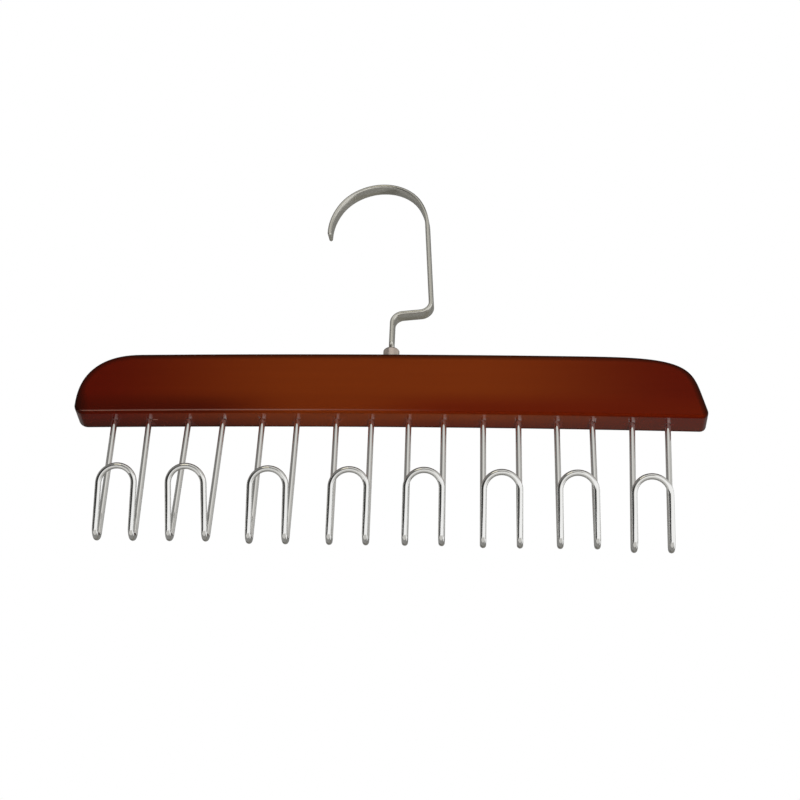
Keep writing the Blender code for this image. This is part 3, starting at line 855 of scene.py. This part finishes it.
world = bpy.data.worlds.new("white_surroundings")
world.use_nodes = True
scene.world = world
nodes = Nodes(world.node_tree)
path = nodes.add("ShaderNodeLightPath")
shown = path.out("Is Camera Ray") + path.out("Is Glossy Ray") + path.out("Is Transmission Ray")
shown = nodes.add("ShaderNodeClamp", {}, {0: shown})
background = world.node_tree.nodes["Background"]
background.inputs["Color"].default_value = WHITE
(SKY_LEVEL + shown * (1.0 - SKY_LEVEL)).into(background, "Strength")


def seen_from_hanger(bearing_deg, rise_deg, distance):
    """A place round the hanger. Bearing 0 is straight in front and 90 to its right."""
    bearing, rise = radians(bearing_deg), radians(rise_deg)
    return distance * Vector((sin(bearing) * cos(rise), -cos(bearing) * cos(rise), sin(rise)))


def upright(bearing_deg, distance):
    """The stand of a card that faces the hanger from this side."""
    return (Matrix.Translation(seen_from_hanger(bearing_deg, 0.0, distance))
            @ Matrix.Rotation(radians(bearing_deg), 4, "Z"))


def level(height):
    """The stand of a card that lies flat at this height."""
    return Matrix.Translation((0.0, 0.0, height)) @ Matrix.Rotation(-pi / 2, 4, "X")


def warm_grey(brightness, warmth):
    return (brightness, brightness * (1 - warmth / 4), brightness * (1 - warmth))


def reflection_card(name, stand, width, heights, greys, fade=None, warmth=CARD_WARMTH):
    """A card that only reflections see, shaded from one grey on its left to another on its right."""
    fade = fade or (-width / 2, width / 2)
    left_colour, right_colour = (warm_grey(brightness, warmth) for brightness in greys)
    material, nodes, _ = new_material(name)
    across = nodes.ramp(nodes.add("ShaderNodeSeparateXYZ", inputs={0: nodes.object_place()}), *fade)
    glow = nodes.add("ShaderNodeEmission", inputs={"Color": nodes.mix(across, left_colour, right_colour)})
    glow.into(nodes.tree.nodes["Material Output"], "Surface")
    bottom, top = heights
    mesh = bpy.data.meshes.new(name)
    mesh.from_pydata([(-width / 2, 0, bottom), (width / 2, 0, bottom), (width / 2, 0, top),
                      (-width / 2, 0, top)], [], [(0, 1, 2, 3)])
    card = new_piece(name, mesh, material)
    card.matrix_world = stand
    card.visible_camera = False
    card.visible_diffuse = False
    card.visible_shadow = False
    card.visible_transmission = False


# The stands, then each card on its stand: its width, its lower and upper edge (on a level stand, its front and
# back edge), and its greys on the left and right. A fade says where the left grey ends and the right begins.
left_stand = upright(bearing_deg=-60.0, distance=1.5)
front_stand = upright(bearing_deg=-11.0, distance=1.7)
strip_stand = upright(bearing_deg=-15.7, distance=1.4)
right_stand = upright(bearing_deg=35.0, distance=1.9)
right_wall_stand = upright(bearing_deg=85.0, distance=1.7)
left_wall_stand = upright(bearing_deg=-118.0, distance=1.8)
back_stand = upright(bearing_deg=180.0, distance=1.6)
ceiling_stand = level(CARD_TOP)
table_stand = level(TABLE_HEIGHT)
reflection_card("left_flag", left_stand, 1.40, (CARD_FOOT, 0.2), (0.06, 0.03))
reflection_card("upper_left", left_stand, 1.40, (0.2, CARD_TOP), (0.22, 0.20))
reflection_card("front_flag", front_stand, 1.60, (CARD_FOOT, -0.45), (0.03, 0.95), fade=(-0.50, 0.70))
reflection_card("middle_front", front_stand, 1.60, (-0.45, 0.55), (0.12, 0.28))
reflection_card("upper_front", front_stand, 1.60, (0.55, 1.25), (0.20, 0.88), fade=(-0.85, 0.70))
reflection_card("high_front", front_stand, 1.60, (1.25, CARD_TOP), (0.66, 0.66))
reflection_card("edge_strip", strip_stand, 0.40, (0.25, 0.60), (1.6, 1.6), warmth=0.3)
reflection_card("upper_right", right_stand, 1.50, (0.15, CARD_TOP), (0.70, 0.50))
reflection_card("right_wall", right_wall_stand, 2.4, (0.75, CARD_TOP), (0.52, 0.54))
reflection_card("left_wall", left_wall_stand, 2.2, (CARD_FOOT, CARD_TOP), (0.30, 0.22))
reflection_card("low_back", back_stand, 4.4, (-1.25, -0.50), (0.20, 0.12), fade=(-0.45, 0.55), warmth=0.2)
reflection_card("back_wall", back_stand, 4.4, (-0.50, CARD_TOP), (0.24, 0.20))
reflection_card("ceiling", ceiling_stand, 4.6, (-2.3, 2.3), (0.05, 0.08))
reflection_card("front_table", table_stand, 3.4, (-1.0, 0.1), (0.60, 0.60))
reflection_card("back_table", table_stand, 3.4, (0.1, 1.7), (0.27, 0.25))


def soft_lamp(name, bearing_deg, rise_deg, distance, power):
    """A square lamp that faces the hanger. Reflections show the white surroundings in its place."""
    lamp = bpy.data.lights.new(name, "AREA")
    lamp.shape = "SQUARE"
    lamp.size = LAMP_SIZE
    lamp.energy = power
    holder = bpy.data.objects.new(name, lamp)
    scene.collection.objects.link(holder)
    place = seen_from_hanger(bearing_deg, rise_deg, distance)
    holder.matrix_world = Matrix.Translation(place) @ (-place).to_track_quat("-Z", "Y").to_matrix().to_4x4()
    holder.visible_glossy = False


soft_lamp("soft_key", bearing_deg=14.0, rise_deg=-30.0, distance=1.5, power=13.2)
soft_lamp("soft_back", bearing_deg=168.0, rise_deg=6.0, distance=1.6, power=9.0)

# Camera
# It stands in front of the hanger, a little to its right and well below it, and looks up, so that the
# underside of the bar shows.
CAMERA_PLACE = (0.05893, -0.77766, -0.50584)
CAMERA_YAW_DEG = 3.8864
CAMERA_PITCH_DEG = 33.6804
CAMERA_ROLL_DEG = 2.5264
FOCAL_PIXELS = 1678.58
IMAGE_PIXELS = 800
SENSOR_MM = 36.0
NEAREST_SEEN = 0.01

lens = bpy.data.cameras.new("camera")
lens.sensor_width = SENSOR_MM
lens.lens = SENSOR_MM * FOCAL_PIXELS / IMAGE_PIXELS
lens.clip_start = NEAREST_SEEN
camera = bpy.data.objects.new("camera", lens)
scene.collection.objects.link(camera)
camera.matrix_world = (Matrix.Translation(CAMERA_PLACE) @ Matrix.Rotation(radians(CAMERA_YAW_DEG), 4, "Z")
                       @ Matrix.Rotation(pi / 2 + radians(CAMERA_PITCH_DEG), 4, "X")
                       @ Matrix.Rotation(radians(CAMERA_ROLL_DEG), 4, "Z"))
scene.camera = camera
scene.view_settings.view_transform = "Standard"
